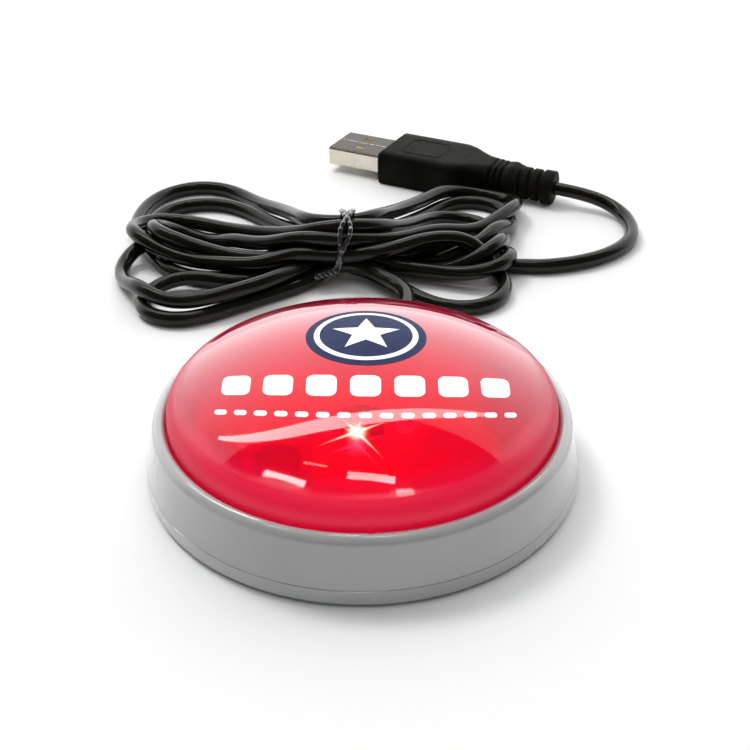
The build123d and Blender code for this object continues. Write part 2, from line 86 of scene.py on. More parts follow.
def mesh_object(name, verts, faces, smooth=True):
    mesh = bpy.data.meshes.new(name)
    mesh.from_pydata([tuple(v) for v in verts], [], faces)
    bm = bmesh.new()
    bm.from_mesh(mesh)
    bmesh.ops.remove_doubles(bm, verts=bm.verts, dist=1e-7)
    bmesh.ops.recalc_face_normals(bm, faces=bm.faces)
    bm.to_mesh(mesh)
    bm.free()
    for p in mesh.polygons:
        p.use_smooth = smooth
    return link(bpy.data.objects.new(name, mesh))


def tube_data(points, radius, sides):
    """Vertices and faces of a closed round tube along points, in metres. radius may be one per point."""
    pts = np.array(points, float)
    n = len(pts)
    radii = np.full(n, radius) if np.isscalar(radius) else np.array(radius, float)
    tangents = np.gradient(pts, axis=0)
    tangents /= np.linalg.norm(tangents, axis=1)[:, None]
    side = np.cross(tangents[0], (0.0, 0.0, 1.0))
    if np.linalg.norm(side) < 1e-3:
        side = np.cross(tangents[0], (1.0, 0.0, 0.0))
    verts = []
    for i in range(n):
        side = side - tangents[i] * (side @ tangents[i])
        side /= np.linalg.norm(side)
        other = np.cross(tangents[i], side)
        for k in range(sides):
            a = 2 * math.pi * k / sides
            verts.append(pts[i] + radii[i] * (math.cos(a) * side + math.sin(a) * other))
    faces = []
    for i in range(n - 1):
        for k in range(sides):
            a, b = i * sides + k, i * sides + (k + 1) % sides
            faces.append((a, b, b + sides, a + sides))
    faces.append(tuple(range(sides)))
    faces.append(tuple((n - 1) * sides + k for k in range(sides)))
    return verts, faces


def sweep(name, strands, sides=12):
    """One mesh of round tubes. strands is a list of (points, radius)."""
    verts, faces = [], []
    for points, radius in strands:
        more_verts, more_faces = tube_data(points, radius, sides)
        start = len(verts)
        verts += more_verts
        faces += [tuple(start + i for i in face) for face in more_faces]
    return mesh_object(name, verts, faces)


# ---------------------------------------------------------------- materials
def nodes_of(name):
    mat = bpy.data.materials.new(name)
    mat.use_nodes = True
    tree = mat.node_tree
    tree.nodes.clear()
    out = tree.nodes.new("ShaderNodeOutputMaterial")
    return mat, tree, out


def add(tree, kind, **props):
    node = tree.nodes.new(kind)
    for key, value in props.items():
        setattr(node, key, value)
    return node


def noise(tree, coords, scale, detail=4.0, roughness=0.55):
    node = add(tree, "ShaderNodeTexNoise")
    node.inputs["Scale"].default_value = scale
    node.inputs["Detail"].default_value = detail
    node.inputs["Roughness"].default_value = roughness
    tree.links.new(coords, node.inputs["Vector"])
    return node.outputs["Fac"]


def ramp(tree, value, stops):
    node = add(tree, "ShaderNodeValToRGB")
    elements = node.color_ramp.elements
    while len(elements) < len(stops):
        elements.new(0.5)
    for element, (position, colour) in zip(elements, stops):
        element.position = position
        element.color = (*colour, 1.0)
    tree.links.new(value, node.inputs["Fac"])
    return node.outputs["Color"]


def map_range(tree, value, low, high, to_low, to_high):
    node = add(tree, "ShaderNodeMapRange")
    for key, number in (("From Min", low), ("From Max", high), ("To Min", to_low), ("To Max", to_high)):
        node.inputs[key].default_value = number
    tree.links.new(value, node.inputs["Value"])
    return node.outputs["Result"]


def bump(tree, height, strength, distance):
    node = add(tree, "ShaderNodeBump")
    node.inputs["Strength"].default_value = strength
    node.inputs["Distance"].default_value = distance
    tree.links.new(height, node.inputs["Height"])
    return node.outputs["Normal"]


def surface(name, dark, light, patch=120.0, rough=(0.3, 0.4), grain=2500.0, grain_depth=0.00002,
            grain_strength=0.3, metallic=0.0, coat=0.0, coat_rough=0.05, specular=0.5, scratches=0.0,
            emission=None, painted_top_shade=None):
    """Moulded or metal finish: mottled colour, uneven gloss and fine grain, from noise in object space.
    Faces that look up can be darkened with a painted shade, and the surface can be given a glow.
    """
    mat, tree, out = nodes_of(name)
    shader = add(tree, "ShaderNodeBsdfPrincipled")
    coords = add(tree, "ShaderNodeTexCoord").outputs["Object"]
    patches = noise(tree, coords, patch)
    colour = ramp(tree, patches, [(0.3, dark), (0.7, light)])
    if painted_top_shade:  # faces that look up are darkened: painted shade
        facing = add(tree, "ShaderNodeSeparateXYZ")
        tree.links.new(add(tree, "ShaderNodeNewGeometry").outputs["Normal"], facing.inputs["Vector"])
        tint = add(tree, "ShaderNodeMix", data_type="RGBA")
        tree.links.new(map_range(tree, facing.outputs["Z"], 0.5, 0.9, 0.0, 1.0), tint.inputs["Factor"])
        tree.links.new(colour, tint.inputs["A"])
        tint.inputs["B"].default_value = (*painted_top_shade, 1.0)
        colour = tint.outputs["Result"]
    tree.links.new(colour, shader.inputs["Base Color"])
    wear = noise(tree, coords, patch * 3.7, detail=6.0)
    tree.links.new(map_range(tree, wear, 0.3, 0.7, rough[0], rough[1]), shader.inputs["Roughness"])
    height = noise(tree, coords, grain, detail=3.0)
    if scratches:
        stretch = add(tree, "ShaderNodeMapping")
        stretch.inputs["Scale"].default_value = (1.0, scratches, 1.0)
        tree.links.new(coords, stretch.inputs["Vector"])
        height = noise(tree, stretch.outputs["Vector"], grain, detail=3.0)
    tree.links.new(bump(tree, height, grain_strength, grain_depth), shader.inputs["Normal"])
    shader.inputs["Metallic"].default_value = metallic
    shader.inputs["Coat Weight"].default_value = coat
    shader.inputs["Coat Roughness"].default_value = coat_rough
    shader.inputs["Specular IOR Level"].default_value = specular
    if emission:
        shader.inputs["Emission Color"].default_value = (*emission[0], 1.0)
        shader.inputs["Emission Strength"].default_value = emission[1]
    tree.links.new(shader.outputs["BSDF"], out.inputs["Surface"])
    return mat


def paint(obj, mat):
    if len(obj.material_slots) == 0:
        obj.data.materials.append(mat)
    for s in obj.material_slots:
        s.material = mat


def dress(piece, mat, body="root", replaced=()):
    """Paints a new piece, hangs it on the body it rides on and hides the CAD nodes it stands for."""
    paint(piece, mat)
    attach(piece, body)
    if replaced:
        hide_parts(*replaced)


BASE_GREY = surface("base_grey_plastic", (0.41, 0.41, 0.415), (0.45, 0.448, 0.45), patch=60,
                    rough=(0.16, 0.24), grain=1500, grain_depth=0.00001, grain_strength=0.08, coat=1.0,
                    coat_rough=0.04)
RUBBER = surface("foot_rubber", (0.02, 0.02, 0.02), (0.035, 0.035, 0.035), rough=(0.7, 0.9), grain=3000,
                 grain_depth=0.00004)
# painted glow: the reflector plate and plunger glow red, though they are no lamps
INNER_WHITE_PAINTED_GLOW = surface("inner_white", (0.80, 0.80, 0.78), (0.88, 0.88, 0.86), rough=(0.35, 0.5),
                      emission=((1.0, 0.12, 0.14), 0.8))
STEEL = surface("screw_steel", (0.50, 0.50, 0.52), (0.66, 0.66, 0.68), rough=(0.22, 0.4), metallic=1.0,
                scratches=12)
SPRING = surface("spring_wire", (0.60, 0.60, 0.62), (0.75, 0.75, 0.77), rough=(0.15, 0.3), metallic=1.0,
                 scratches=20)
TINNED = surface("tinned_metal", (0.62, 0.62, 0.63), (0.78, 0.78, 0.78), rough=(0.2, 0.4), metallic=1.0)
BOARD = surface("board_green", (0.015, 0.12, 0.045), (0.03, 0.2, 0.08), patch=500, rough=(0.25, 0.4),
                coat=0.3)
SWITCH_BLACK = surface("switch_black", (0.02, 0.02, 0.02), (0.035, 0.035, 0.035), rough=(0.4, 0.55))
SWITCH_CAP = surface("switch_cap", (0.07, 0.07, 0.07), (0.1, 0.1, 0.1), rough=(0.35, 0.5))
CHIP = surface("chip_black", (0.02, 0.02, 0.022), (0.04, 0.04, 0.042), rough=(0.5, 0.65), grain=6000)
CRYSTAL = surface("crystal_can", (0.6, 0.6, 0.6), (0.8, 0.8, 0.8), rough=(0.15, 0.3), metallic=1.0,
                  scratches=10)
CAPACITOR = surface("capacitor_tan", (0.42, 0.30, 0.18), (0.55, 0.42, 0.28), rough=(0.4, 0.55))
CORD_BLACK = surface("cord_pvc", (0.004, 0.004, 0.0036), (0.009, 0.009, 0.008), patch=200,
                     rough=(0.15, 0.20), grain=1200, grain_depth=0.00001, grain_strength=0.04, specular=0.3)
TIE_BLACK = surface("tie_plastic", (0.008, 0.008, 0.009), (0.03, 0.03, 0.033), patch=900,
                    rough=(0.06, 0.14), grain=1400, grain_depth=0.00012, grain_strength=0.6, coat=1.0,
                    coat_rough=0.03, specular=0.8)
# painted shade: the shell's faces that look up are darkened
NICKEL = surface("plug_nickel", (0.60, 0.55, 0.47), (0.74, 0.69, 0.60), patch=90, rough=(0.16, 0.3),
                 grain=3500, grain_depth=0.000006, metallic=1.0, scratches=14, painted_top_shade=(0.05, 0.04, 0.028))
# painted glow: the insulator glows faintly, so it looks light through the shell's windows
INSULATOR_PAINTED_GLOW = surface("insulator_white", (0.70, 0.70, 0.67), (0.80, 0.80, 0.78), rough=(0.4, 0.5),
                    emission=((1.0, 0.97, 0.92), 0.25))
GOLD = surface("contact_gold", (0.75, 0.50, 0.16), (0.9, 0.66, 0.26), rough=(0.15, 0.3), metallic=1.0)
OVERMOULD = surface("overmould_satin", (0.006, 0.006, 0.0052), (0.013, 0.013, 0.011), patch=150,
                    rough=(0.34, 0.46), grain=4200, grain_depth=0.00003, grain_strength=0.35, specular=0.02)
WIRES = {
    "wire_red": surface("wire_red", (0.5, 0.01, 0.01), (0.65, 0.03, 0.03), rough=(0.25, 0.4)),
    "wire_white": surface("wire_white", (0.7, 0.7, 0.68), (0.85, 0.85, 0.83), rough=(0.25, 0.4)),
    "wire_green": surface("wire_green", (0.02, 0.28, 0.06), (0.04, 0.4, 0.1), rough=(0.25, 0.4)),
    "wire_black": surface("wire_black", (0.01, 0.01, 0.01), (0.02, 0.02, 0.02), rough=(0.25, 0.4)),
}


# ---------------------------------------------------------------- the cord: relaxed turns of the tied hank
LAYOUT_HEIGHT = 3.0         # the height at which the turns were laid out, mm
LAYOUT_SLOPE = 2.25         # shift along Y for each mm above or below it


def true_point(x, y, z):
    """A point of the flat layout, in mm, moved to its own height."""
    return (x, y + (LAYOUT_HEIGHT - z) * LAYOUT_SLOPE, z)


# each turn's place inside the tie: distance from its centre in mm and angle in degrees
SLOTS = {
    "D0": (4.72, 240), "D1": (4.72, 280), "A0": (4.72, 200), "A1": (4.72, 120), "L2a": (4.72, 0),
    "L2b": (4.72, 40), "C0": (1.79, 20), "C1": (1.79, 260), "B0": (1.79, 140), "B1": (1.79, 160),
    "L1a": (4.72, 80), "L1b": (4.72, 320),
}


def through_tie(name, leftwards):
    r, angle = SLOTS[name]
    y = TIE_CENTRE[1] + r * math.cos(math.radians(angle))
    z = TIE_CENTRE[2] + r * math.sin(math.radians(angle))
    xs = (-2.0, -5.0, -8.0) if leftwards else (-8.0, -5.0, -2.0)
    return [(x, y, z) for x in xs]


# the turns in order: place in the tie, whether it runs leftwards there, and the loop that follows
LOOPS = [
    ("D0", True, [
        (-15, 56, 1.8), (-23, 49.5, 1.6), (-31, 44, 1.6), (-38.5, 42.5, 1.6), (-44.5, 46.5, 1.6),
        (-46, 53, 1.6), (-42, 58.5, 3.0), (-33, 60, 4.4), (-22, 61.5, 3.2),
    ]),
    ("D1", False, [
        (3, 58.8, 1.8), (9, 51.9, 1.6), (15, 47.4, 1.6), (21.5, 45.2, 1.6), (26.5, 48.9, 1.6),
        (29, 57.3, 1.8), (28.5, 67, 4.2), (24, 74.5, 4.7), (15, 75.5, 5.4), (6, 72, 5.6),
    ]),
    ("A0", True, [
        (-15, 66, 5.2), (-28, 66, 4.7), (-38, 69, 4.7), (-46.5, 75.5, 4.7), (-52, 83.5, 4.7),
        (-50, 89, 4.7), (-43, 88, 4.7), (-32, 86.5, 5), (-20, 84.5, 7.5),
    ]),
    ("A1", False, [
        (5, 85.5, 9), (12, 91, 6), (19, 92.5, 3.2), (26, 90, 1.8), (29, 82, 2.4), (28, 73, 4.8),
        (24, 66, 4.6), (14, 65, 1.8), (5, 66.5, 2.5),
    ]),
    ("L2a", True, [
        (-15, 69.5, 3.2), (-28, 69.5, 1.6), (-40, 72, 1.6), (-48.5, 80, 1.6), (-50, 89, 1.6),
        (-43, 96, 1.6), (-34, 98.2, 1.6), (-24, 92.5, 2.8), (-14, 87.5, 6.5),
    ]),
    ("L2b", False, [
        (6, 89, 7.5), (14, 96, 3.4), (22, 99.5, 1.7), (30.5, 98, 1.6), (33, 91, 2.6), (30.5, 82, 4.7),
        (26, 73, 4.7), (17, 69.5, 2.8), (6, 70, 4),
    ]),
    ("C0", True, [
        (-14, 73, 5), (-25, 65.75, 2), (-38, 71, 1.6), (-47, 74, 1.6), (-51.5, 68, 2), (-49, 58.5, 3.2),
        (-42, 51, 4.7), (-33, 50, 4.7), (-23, 55.5, 4.5), (-14, 62.5, 4.6),
    ]),
    ("C1", False, [
        (6, 70.5, 5.5), (16, 71, 3.2), (26, 74.5, 3), (31.5, 72, 3.1), (30.5, 64.5, 3.4), (23, 62, 3.2),
        (13, 66, 3.6), (5, 70, 5),
    ]),
    ("B0", True, [
        (-14, 72.5, 6.5), (-26, 70.5, 6), (-37, 73.5, 5.2), (-46, 80.5, 4.8), (-47, 87, 4.7),
        (-40, 83, 4.8), (-28, 79, 5.4), (-16, 75.5, 8),
    ]),
    ("B1", False, [
        (4, 75, 7.6), (14, 79.5, 6.5), (24, 83, 5), (32, 90, 4.7), (35.5, 98.5, 3.6), (30.5, 105.5, 2.8),
        (22, 104.5, 3), (12, 99, 5.5), (4, 92, 9),
    ]),
    ("L1a", True, [
        (-13, 90.5, 9.6), (-20, 96.5, 5.5), (-29, 103.5, 2.2), (-37, 108, 1.6), (-46, 105.5, 1.6),
        (-51.5, 98, 1.6), (-52.5, 88, 1.6), (-50.5, 77, 1.6), (-45, 67, 1.6), (-37, 58.5, 1.6),
        (-28, 58.5, 1.6), (-17, 64, 1.7),
    ]),
    ("L1b", False, []),
]
HANK_END = [(8, 70.2, 2.0), (20, 69.8, 1.6), (30, 69.0, 1.6)]
STEP = 1.6                  # spacing of the relaxed points, mm
ROUNDS = 700
BEND_PASSES = 4
BEND_RADIUS = 8.8           # the fold that the settling aims for, mm; some folds end tighter
BEND_SPANS = (2, 3, 4, 5)   # steps to each side over which a fold is measured
CLEARANCE = 1.08            # turns push apart to this many diameters
PULL_BACK = 0.012           # share of the way back to the drawn line, each round
SINK = 0.01                 # mm down, each round
TIE_HALF_WIDTH, TIE_HOLD_RADIUS = 3.2, 4.75
HELD_START, HELD_END = 6, 8 # points at either end that stay where they are drawn


def quadratic_line(controls):
    """Points along the smooth curve that a list of control points draws."""
    c = np.array(controls, float)
    line = [c[0]]
    for i in range(1, len(c) - 1):
        a = (c[i - 1] + c[i]) / 2 if i > 1 else c[0]
        b = (c[i] + c[i + 1]) / 2 if i < len(c) - 2 else c[-1]
        for t in np.linspace(0, 1, 13)[1:]:
            line.append((1 - t) ** 2 * a + 2 * t * (1 - t) * c[i] + t * t * b)
    return np.array(line)


def evenly(line, step):
    s = np.r_[0, np.cumsum(np.linalg.norm(np.diff(line, axis=0), axis=1))]
    t = np.linspace(0, s[-1], int(round(s[-1] / step)) + 1)
    return np.stack([np.interp(t, s, line[:, k]) for k in range(3)], axis=1)


def relax(line):
    """Settles the drawn turns: they push apart, limit their bends, lie low and keep their point spacing."""
    p = line.copy()
    n = len(p)
    apart = CORD_DIAMETER * CLEARANCE
    gap = int(math.ceil(2.2 * CORD_DIAMETER / STEP))
    pairs_i, pairs_j = np.triu_indices(n, k=gap)
    held = np.zeros(n, bool)
    held[:HELD_START] = True
    held[-HELD_END:] = True
    centre = np.array(TIE_CENTRE[1:])
    for r in range(ROUNDS):
        if r % 15 == 0:
            near = np.linalg.norm(p[pairs_i] - p[pairs_j], axis=1) < CORD_DIAMETER * 2.0
            i_near, j_near = pairs_i[near], pairs_j[near]
        d = p[i_near] - p[j_near]
        length = np.linalg.norm(d, axis=1)
        hit = length < apart
        i, j, d, length = i_near[hit], j_near[hit], d[hit], np.maximum(length[hit], 1e-3)
        move = (apart - length)[:, None] * d / length[:, None] * 0.5
        push = np.zeros_like(p)
        count = np.zeros(n)
        np.add.at(push, i, move)
        np.add.at(push, j, -move)
        np.add.at(count, i, 1)
        np.add.at(count, j, 1)
        p += push / np.maximum(count, 1)[:, None] * 1.2
        lap = np.zeros_like(p)
        lap[1:-1] = (p[:-2] + p[2:]) / 2 - p[1:-1]
        p += 0.1 * lap
        for _ in range(BEND_PASSES):
            bend = np.zeros_like(p)
            bend[2:-2] = (-p[:-4] + 4 * p[1:-3] + 4 * p[3:-1] - p[4:]) / 6 - p[2:-2]
            p += 0.5 * bend
        for k in BEND_SPANS:
            chord = 2 * BEND_RADIUS * math.sin(k * STEP / BEND_RADIUS)
            span = p[2 * k:] - p[:-2 * k]
            size = np.linalg.norm(span, axis=1)
            spread = (np.maximum(chord - size, 0) / np.maximum(size, 1e-3) * 0.3)[:, None] * span
            p[2 * k:] += spread
            p[:-2 * k] -= spread
        p += PULL_BACK * (line - p) * np.array([1, 1, 0.5])
        p[:, 2] -= SINK
        for _ in range(3):
            e = p[1:] - p[:-1]
            size = np.linalg.norm(e, axis=1)
            fix = ((size - STEP) / np.maximum(size, 1e-6) * 0.25)[:, None] * e
            p[:-1] += fix
            p[1:] -= fix
        tied = np.abs(p[:, 0] - TIE_CENTRE[0]) < TIE_HALF_WIDTH
        off = p[tied][:, 1:] - centre
        out = np.linalg.norm(off, axis=1)
        q = p[tied]
        q[:, 1:] = centre + off * np.minimum(1, TIE_HOLD_RADIUS / np.maximum(out, 1e-6))[:, None]
        p[tied] = q
        p[:, 2] = np.maximum(p[:, 2], CORD_DIAMETER / 2 + 0.02)
        p[held] = line[held]
    return p


def hank_points():
    """Control points of the tied turns, between the lead and the tail, in metres."""
    controls = [tuple(c / MM for c in p) for p in LEAD_ROUTE[1:]]
    for slot_name, leftwards, loop in LOOPS:
        controls += through_tie(slot_name, leftwards)
        controls += [true_point(*c) for c in loop]
    controls += HANK_END + [tuple(c / MM for c in p) for p in TAIL_ROUTE[:2]]
    line = evenly(quadratic_line(controls), STEP)
    settled = relax(line)
    return [tuple(q * MM) for q in settled[HELD_START:-HELD_END:2]]


def cord_curve(name, points, diameter):
    curve = bpy.data.curves.new(name, "CURVE")
    curve.dimensions = "3D"
    spline = curve.splines.new("NURBS")
    spline.points.add(len(points) - 1)
    for point, co in zip(spline.points, points):
        point.co = (*co, 1.0)
    spline.order_u = 3
    spline.use_endpoint_u = True
    spline.resolution_u = 4
    curve.bevel_depth = diameter / 2
    curve.bevel_resolution = 6
    curve.use_fill_caps = True
    return link(bpy.data.objects.new(name, curve))


CORD_POINTS = LEAD_ROUTE[:3] + hank_points() + TAIL_ROUTE
cord = cord_curve("usb_cord", CORD_POINTS, CORD_DIAMETER * MM)
dress(cord, CORD_BLACK, replaced=("cable_lead", "cable_hank", "cable_tail"))


# ---------------------------------------------------------------- dome print
def on_dome(x, y, rise):
    """The point rise mm above the dome's outer sphere over plan point x, y (all mm)."""
    r = DOME_RADIUS + rise
    return Vector((x, y, DOME_CENTRE_Z + math.sqrt(r * r - x * x - y * y))) * MM


def decal(name, outlines, mat, rise=0.05, sunk=0.03, rings=4):
    """Thin raised prints on the dome. An outline is (centre, points), star shaped about it, in plan mm."""
    verts, faces = [], []
    for (cx, cy), outline in outlines:
        start = len(verts)
        n = len(outline)
        verts.append(on_dome(cx, cy, rise))
        for k in range(1, rings + 1):
            s = k / rings
            for x, y in outline:
                verts.append(on_dome(cx + (x - cx) * s, cy + (y - cy) * s, rise))
        for x, y in outline:
            verts.append(on_dome(x, y, -sunk))
        for i in range(n):
            j = (i + 1) % n
            faces.append((start, start + 1 + i, start + 1 + j))
            for k in range(rings):
                a = start + 1 + k * n
                faces.append((a + i, a + n + i, a + n + j, a + j))
    obj = mesh_object(name, verts, faces, smooth=False)
    dress(obj, mat, body="dome")


def rounded(x0, x1, y0, y1, corner, bow_centre=0.7, bow=0.0102, per_corner=6, per_side=4):
    """Outline of a rounded block whose row bends with the dome, in plan mm."""
    corner = min(corner, (x1 - x0) / 2, (y1 - y0) / 2)
    flat = []
    corners = ((x1 - corner, y0 + corner, -90), (x1 - corner, y1 - corner, 0),
               (x0 + corner, y1 - corner, 90), (x0 + corner, y0 + corner, 180))
    for cx, cy, a0 in corners:
        for k in range(per_corner + 1):
            a = math.radians(a0 + 90 * k / per_corner)
            flat.append((cx + corner * math.cos(a), cy + corner * math.sin(a)))
    dense = []
    for i, (x, y) in enumerate(flat):
        nx, ny = flat[(i + 1) % len(flat)]
        steps = per_side if math.hypot(nx - x, ny - y) > 1.0 else 1
        dense += [(x + (nx - x) * k / steps, y + (ny - y) * k / steps) for k in range(steps)]
    bent = [(x, y + bow * (x - bow_centre) ** 2) for x, y in dense]
    mid = (x0 + x1) / 2
    return ((mid, (y0 + y1) / 2 + bow * (mid - bow_centre) ** 2), bent)


# painted glow: the white print glows a little, though it is no lamp
PRINT_WHITE_PAINTED_GLOW = surface("print_white_painted_glow", (0.86, 0.86, 0.87), (0.93, 0.93, 0.93), patch=300, rough=(0.3, 0.4),
                      coat=0.4, emission=((1.0, 1.0, 1.0), 0.25))
PRINT_NAVY = surface("print_navy", (0.012, 0.022, 0.075), (0.020, 0.034, 0.105), patch=300,
                     rough=(0.45, 0.55), specular=0.12)

BLOCK_COUNT, BLOCK_PITCH, BLOCK_WIDTH, BLOCK_HEIGHT = 7, 6.6, 4.6, 4.6
BLOCK_ROW, BLOCK_CORNER = -12.6, 1.2
PRINT_CENTRE_X = 0.6
blocks = []
for k in range(BLOCK_COUNT):
    middle = PRINT_CENTRE_X + BLOCK_PITCH * (k - (BLOCK_COUNT - 1) / 2)
    blocks.append(rounded(middle - BLOCK_WIDTH / 2, middle + BLOCK_WIDTH / 2,
                          BLOCK_ROW, BLOCK_ROW + BLOCK_HEIGHT, BLOCK_CORNER))
decal("dome_print_blocks", blocks, PRINT_WHITE_PAINTED_GLOW)

DASH_COUNT, DASH_PITCH, DASH_WIDTH, DASH_HEIGHT = 15, 3.1, 2.0, 1.0
DASH_ROW, DASH_CORNER = -16.8, 0.5
dashes = []
for k in range(DASH_COUNT):
    middle = PRINT_CENTRE_X + DASH_PITCH * (k - (DASH_COUNT - 1) / 2)
    dashes.append(rounded(middle - DASH_WIDTH / 2, middle + DASH_WIDTH / 2,
                          DASH_ROW, DASH_ROW + DASH_HEIGHT, DASH_CORNER, per_side=2))
decal("dome_print_dashes", dashes, PRINT_WHITE_PAINTED_GLOW, rings=2)

EMBLEM = (0.6, 4.0)
EMBLEM_RADIUS = 9.6
EMBLEM_RING = (7.4, 8.3)
STAR_TIP, STAR_NOTCH = 5.6, 2.3


def ring_of(radius, count=72):
    return [(EMBLEM[0] + radius * math.cos(2 * math.pi * k / count),
             EMBLEM[1] + radius * math.sin(2 * math.pi * k / count)) for k in range(count)]


def annulus(name, inner, outer, mat, rise):
    """A flat ring printed on the dome round the emblem's centre."""
    count = 96
    verts = []
    for radius, lift in ((inner, -0.03), (inner, rise), (outer, rise), (outer, -0.03)):
        verts += [on_dome(x, y, lift) for x, y in ring_of(radius, count)]
    faces = []
    for row in range(3):
        for k in range(count):
            j = (k + 1) % count
            faces.append((row * count + k, row * count + j, (row + 1) * count + j, (row + 1) * count + k))
    obj = mesh_object(name, verts, faces, smooth=False)
    dress(obj, mat, body="dome")


decal("dome_emblem_disc", [(EMBLEM, ring_of(EMBLEM_RADIUS))], PRINT_NAVY, rise=0.05, rings=10)
annulus("dome_emblem_ring", *EMBLEM_RING, PRINT_WHITE_PAINTED_GLOW, 0.09)
star = []
for k in range(10):
    r = STAR_TIP if k % 2 == 0 else STAR_NOTCH
    a = math.radians(90 + 36 * k)
    star.append((EMBLEM[0] + r * math.cos(a), EMBLEM[1] + r * math.sin(a)))
star_dense = []
for k in range(10):
    (xa, ya), (xb, yb) = star[k], star[(k + 1) % 10]
    star_dense += [(xa + (xb - xa) * t / 5, ya + (yb - ya) * t / 5) for t in range(5)]
decal("dome_emblem_star", [(EMBLEM, star_dense)], PRINT_WHITE_PAINTED_GLOW, rise=0.10, rings=5)


# ---------------------------------------------------------------- dome material
LED_SPOT = (-0.6, -19.2)    # plan mm, where the painted sparkle sits on the dome
CORE_REACH, GLOW_REACH = 2.4, 13.0
RAYS = (                    # the painted sparkle's rays: direction in degrees, length and half width in mm
    (-48, 6.2, 0.20), (132, 3.6, 0.20), (200, 6.6, 0.18),
    (24, 5.6, 0.18), (160, 2.6, 0.14), (75, 2.8, 0.14),
)


def dome_material():
    mat, tree, out = nodes_of("dome_translucent_red")
    coords = add(tree, "ShaderNodeTexCoord").outputs["Object"]
    shader = add(tree, "ShaderNodeBsdfPrincipled")
    split = add(tree, "ShaderNodeSeparateXYZ")
    tree.links.new(coords, split.inputs["Vector"])

    def math_node(operation, a, b=None, c=None):
        node = add(tree, "ShaderNodeMath", operation=operation)
        for index, value in enumerate((a, b, c)):
            if value is None:
                continue
            if isinstance(value, (int, float)):
                node.inputs[index].default_value = value
            else:
                tree.links.new(value, node.inputs[index])
        return node.outputs[0]

    dx = math_node("MULTIPLY_ADD", split.outputs["X"], 1000.0, -LED_SPOT[0])
    dy = math_node("MULTIPLY_ADD", split.outputs["Y"], 1000.0, -LED_SPOT[1])
    distance = math_node("SQRT", math_node("ADD", math_node("MULTIPLY", dx, dx),
                                           math_node("MULTIPLY", dy, dy)))
    near_lamp = map_range(tree, distance, 0.0, 34.0, 1.0, 0.0)
    # painted light: the base colour is a brighter red near the lamp
    colour = ramp(tree, near_lamp,
                  [(0.0, (0.42, 0.002, 0.045)), (0.45, (0.50, 0.002, 0.036)), (1.0, (0.62, 0.003, 0.022))])
    tree.links.new(colour, shader.inputs["Base Color"])
    haze = noise(tree, coords, 160.0, detail=3.0)
    # the rolled edge is duller than the polished crown
    from_axis = math_node("SQRT", math_node("ADD", math_node("MULTIPLY", split.outputs["X"],
                                                             split.outputs["X"]),
                                            math_node("MULTIPLY", split.outputs["Y"], split.outputs["Y"])))
    rolled = map_range(tree, from_axis, 0.0282, 0.0302, 0.0, 1.0)
    polish = map_range(tree, haze, 0.3, 0.7, 0.03, 0.06)
    tree.links.new(math_node("MULTIPLY_ADD", rolled, 0.45, polish), shader.inputs["Roughness"])
    tree.links.new(math_node("SUBTRACT", 1.0, rolled), shader.inputs["Coat Weight"])
    ripple = noise(tree, coords, 45.0, detail=1.0)
    tree.links.new(bump(tree, ripple, 0.12, 0.0002), shader.inputs["Normal"])
    # the lamp's painted sparkle: thin rays, a hot core and a soft glow, all fixed to the moulding
    rays = None
    for angle, reach, width in RAYS:
        ca, sa = math.cos(math.radians(angle)), math.sin(math.radians(angle))
        along = math_node("ADD", math_node("MULTIPLY", dx, ca), math_node("MULTIPLY", dy, sa))
        across = math_node("ABSOLUTE", math_node("ADD", math_node("MULTIPLY", dx, -sa),
                                                 math_node("MULTIPLY", dy, ca)))
        fade = map_range(tree, along, 0.0, reach, 1.0, 0.0)
        ahead = math_node("GREATER_THAN", along, 0.0)
        thin = math_node("MULTIPLY", fade, width * 2.2)
        line = math_node("MAXIMUM", math_node("SUBTRACT", 1.0,
                                              math_node("DIVIDE", across, math_node("ADD", thin, 0.02))),
                         0.0)
        ray = math_node("MULTIPLY", math_node("MULTIPLY", line, fade), ahead)
        rays = ray if rays is None else math_node("MAXIMUM", rays, ray)
    core = math_node("POWER", map_range(tree, distance, 0.0, CORE_REACH, 1.0, 0.0), 3.0)
    glow = math_node("POWER", map_range(tree, distance, 0.0, GLOW_REACH, 1.0, 0.0), 2.0)
    # painted glow: the moulding glows by its distance from the lamp
    painted_body_glow = map_range(tree, distance, 16.0, 44.0, 0.40, 0.10)
    painted_sparkle = math_node("ADD", math_node("MULTIPLY", rays, 2.2), math_node("MULTIPLY", core, 6.0))
    strength = math_node("ADD", math_node("ADD", painted_sparkle, math_node("MULTIPLY", glow, 0.35)), painted_body_glow)
    warm = ramp(tree, math_node("MINIMUM", painted_sparkle, 1.0),
                [(0.0, (1.0, 0.003, 0.05)), (0.35, (1.0, 0.25, 0.12)), (1.0, (1.0, 0.9, 0.75))])
    tree.links.new(warm, shader.inputs["Emission Color"])
    tree.links.new(strength, shader.inputs["Emission Strength"])
    shader.inputs["Coat Roughness"].default_value = 0.02
    shader.inputs["IOR"].default_value = 1.55
    clear = add(tree, "ShaderNodeBsdfTransparent")
    clear.inputs["Color"].default_value = (0.85, 0.05, 0.12, 1.0)
    facing = add(tree, "ShaderNodeLayerWeight")
    facing.inputs["Blend"].default_value = 0.5
    solidity = map_range(tree, facing.outputs["Facing"], 0.08, 0.75, 0.26, 0.94)
    # the rolled edge is thick, so little shows through it
    solidity = math_node("MAXIMUM", solidity, map_range(tree, from_axis, 0.0235, 0.0300, 0.0, 0.97))
    mix = add(tree, "ShaderNodeMixShader")
    tree.links.new(solidity, mix.inputs["Fac"])
    tree.links.new(clear.outputs["BSDF"], mix.inputs[1])
    tree.links.new(shader.outputs["BSDF"], mix.inputs[2])
    tree.links.new(mix.outputs["Shader"], out.inputs["Surface"])
    return mat


LED_LENS = surface("led_lens", (0.95, 0.85, 0.75), (1.0, 0.95, 0.9), rough=(0.1, 0.2), coat=0.5,
                   emission=((1.0, 0.7, 0.5), 6.0))

